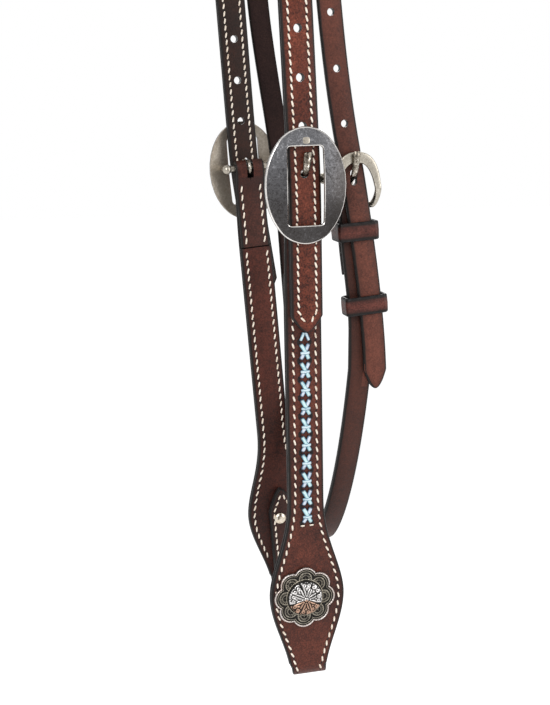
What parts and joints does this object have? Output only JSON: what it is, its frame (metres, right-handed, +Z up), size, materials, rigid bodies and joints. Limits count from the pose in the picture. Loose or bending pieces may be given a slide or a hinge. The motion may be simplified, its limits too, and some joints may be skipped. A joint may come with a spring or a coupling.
{
  "type": "western headstall",
  "caption": "Western browband headstall of doubled, stitched leather with oval cheek buckles, laced cheeks, conchos, folded bit ends and a buckled throat latch.",
  "frame": {"origin": "middle of the crown's underside, where the poll carries it", "axes": "+X to the horse's rear, +Y to the off (right) side, +Z up"},
  "size_m": [0.2403, 0.1368, 0.5213],
  "materials": {
    "bridle_leather": "oiled reddish brown, black edges, cream stitching",
    "lining_leather": "dark oiled brown",
    "throat_leather": "oiled reddish brown, single ply",
    "polished_steel": "polished, slightly mottled",
    "nickel": "satin nickel plate",
    "antique_silver": "antiqued, dark in the recesses",
    "blue_lace": "waxed light blue lace"
  },
  "bodies": {
    "headstall": {"crown_strap": "bridle_leather", "crown_lining": "lining_leather", "near_buckle_plate": "polished_steel", "near_buckle_bar": "polished_steel", "off_buckle_plate": "polished_steel", "off_buckle_bar": "polished_steel", "throat_strap": "throat_leather", "throat_buckle_frame": "nickel"},
    "near_cheek": {"near_cheek_leather": "bridle_leather", "near_cheek_lining": "lining_leather", "near_lacing": "blue_lace", "near_concho": "antique_silver", "near_concho_screw": "nickel"},
    "off_cheek": {"off_cheek_leather": "bridle_leather", "off_cheek_lining": "lining_leather", "off_lacing": "blue_lace", "off_concho": "antique_silver", "off_concho_screw": "nickel"},
    "near_tongue_wire": {"near_tongue": "polished_steel"},
    "off_tongue_wire": {"off_tongue": "polished_steel"},
    "throat_tongue_wire": {"throat_tongue": "nickel"},
    "upper_keeper_ring": {"upper_keeper": "throat_leather"},
    "lower_keeper_ring": {"lower_keeper": "throat_leather"},
    "browband_set": {"browband": "bridle_leather", "browband_lining": "lining_leather", "near_browband_screw": "nickel", "off_browband_screw": "nickel"}
  },
  "joints": [
    {"name": "near_cheek_swing", "type": "hinge", "parent": "headstall", "child": "near_cheek", "pos_m": [0.0168, -0.05395, -0.2532], "axis": [0.9998, 0, 0.0209], "range_deg": [0, 10]},
    {"name": "off_cheek_swing", "type": "hinge", "parent": "headstall", "child": "off_cheek", "pos_m": [0.01765, 0.05395, -0.2532], "axis": [-0.9957, 0, -0.0924], "range_deg": [0, 3]},
    {"name": "near_tongue_rock", "type": "hinge", "parent": "headstall", "child": "near_tongue_wire", "pos_m": [0.0168, -0.05395, -0.2532], "axis": [0.9998, 0, 0.0209], "range_deg": [-2, 4]},
    {"name": "off_tongue_rock", "type": "hinge", "parent": "headstall", "child": "off_tongue_wire", "pos_m": [0.01765, 0.05395, -0.2532], "axis": [-0.9957, 0, -0.0924], "range_deg": [-2, 4]},
    {"name": "throat_tongue_rock", "type": "hinge", "parent": "headstall", "child": "throat_tongue_wire", "pos_m": [0.04356, -0.0503, -0.267], "axis": [0.9996, 0, 0.0279], "range_deg": [0, 2]},
    {"name": "upper_keeper_slide", "type": "slide", "parent": "headstall", "child": "upper_keeper_ring", "axis": [0.0743, 0, -0.9972], "range_m": [0, 0.006]},
    {"name": "lower_keeper_slide", "type": "slide", "parent": "headstall", "child": "lower_keeper_ring", "axis": [0.0916, 0, -0.9958], "range_m": [-0.006, 0.008]},
    {"name": "browband_slide", "type": "slide", "parent": "headstall", "child": "browband_set", "axis": [0, 0, -1], "range_m": [-0.006, 0.006]}
  ]
}
